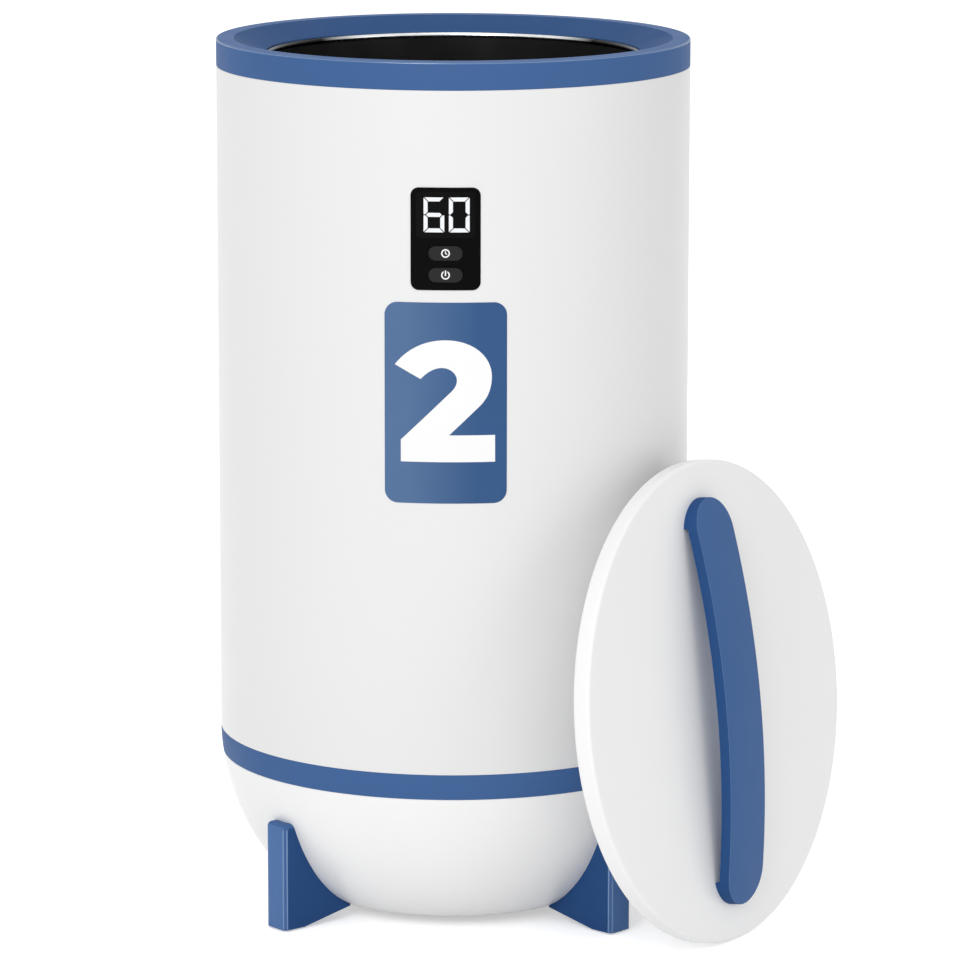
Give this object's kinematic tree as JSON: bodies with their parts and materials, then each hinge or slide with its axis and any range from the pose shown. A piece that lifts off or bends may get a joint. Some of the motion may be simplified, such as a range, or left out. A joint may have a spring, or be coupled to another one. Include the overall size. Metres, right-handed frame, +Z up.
{
  "type": "towel warmer bucket",
  "caption": "Round heated bucket with blue rim ring, accent band and fin feet, a black front panel with push buttons, and a loose round lid with an arched handle leaning on it.",
  "frame": {"origin": "on the floor under the bucket's axis, just below the base cover", "axes": "+Z up along the bucket's axis, -Y to the front where the control panel is, +X to the right seen from the front"},
  "size_m": [0.3725, 0.3597, 0.52],
  "materials": {
    "white_plastic": "smooth semi-gloss white moulded plastic",
    "white_shell": "smooth semi-gloss white outer shell",
    "blue_plastic": "satin blue moulded plastic",
    "black_gloss": "high-gloss black",
    "smoked_window": "smoked display lens",
    "key_plastic": "dark grey satin key",
    "pot_coating": "black baked coating on aluminium",
    "label_film": "printed blue film",
    "rubber_black": "matt moulded rubber",
    "silicone_grey": "grey silicone",
    "heater_mat": "orange-brown silicone heating mat",
    "aluminium": "plain rolled",
    "steel": "zinc-plated",
    "brass": "plated contact",
    "insulation": "pale fibre wadding",
    "circuit_board": "green solder mask",
    "component_black": "moulded component body",
    "component_yellow": "wound bobbin and tape",
    "cable_sheath": "cable sheath"
  },
  "bodies": {
    "bucket": {"top_ring": "blue_plastic", "outer_shell": "white_shell", "accent_band": "blue_plastic", "base_bowl": "white_plastic", "base_cover": "white_plastic", "base_cover_screws": "steel", "foot_front_left": "blue_plastic", "foot_front_right": "blue_plastic", "foot_rear_left": "blue_plastic", "foot_rear_right": "blue_plastic", "foot_pads": "rubber_black", "foot_screws": "steel", "inner_pot": "pot_coating", "mouth_gasket": "silicone_grey", "pot_screws": "steel", "side_heater": "heater_mat", "insulation_jacket": "insulation", "heater_plate": "aluminium", "bottom_insulation": "insulation", "support_tray": "steel", "tray_screws": "steel", "thermostat": "component_black", "thermal_fuse": "brass", "power_board": "circuit_board", "board_screws": "steel", "transformer": "component_yellow", "power_relay": "component_black", "capacitors": "component_black", "terminal_block": "component_black", "tie_rods": "steel", "tie_rod_nuts": "steel", "band_screws": "steel", "control_bezel": "black_gloss", "display_window": "smoked_window", "control_board": "circuit_board", "display_module": "component_black", "button_switches": "component_black", "control_screws": "steel", "panel_harness": "cable_sheath", "front_label": "label_film", "inlet_socket": "black_gloss", "inlet_pins": "brass", "inlet_plate": "steel", "inlet_screws": "steel"},
    "lid": {"lid_cover": "white_plastic", "lid_pan": "white_plastic", "lid_insulation": "insulation", "lid_gasket": "silicone_grey", "lid_handle": "blue_plastic", "handle_screws": "steel", "pan_screws": "steel"},
    "timer_key": {"timer_button": "key_plastic"},
    "power_key": {"power_button": "key_plastic"}
  },
  "joints": [
    {"name": "lid_lift", "type": "slide", "parent": "bucket", "child": "lid", "axis": [0, 0, 1], "range_m": [0, 0.55]},
    {"name": "timer_press", "type": "slide", "parent": "bucket", "child": "timer_key", "axis": [0, 1, 0], "range_m": [0, 0.0006], "stiffness_N_per_m": 1500, "springref_m": -0.0003},
    {"name": "power_press", "type": "slide", "parent": "bucket", "child": "power_key", "axis": [0, 1, 0], "range_m": [0, 0.0006], "stiffness_N_per_m": 1500, "springref_m": -0.0003}
  ]
}
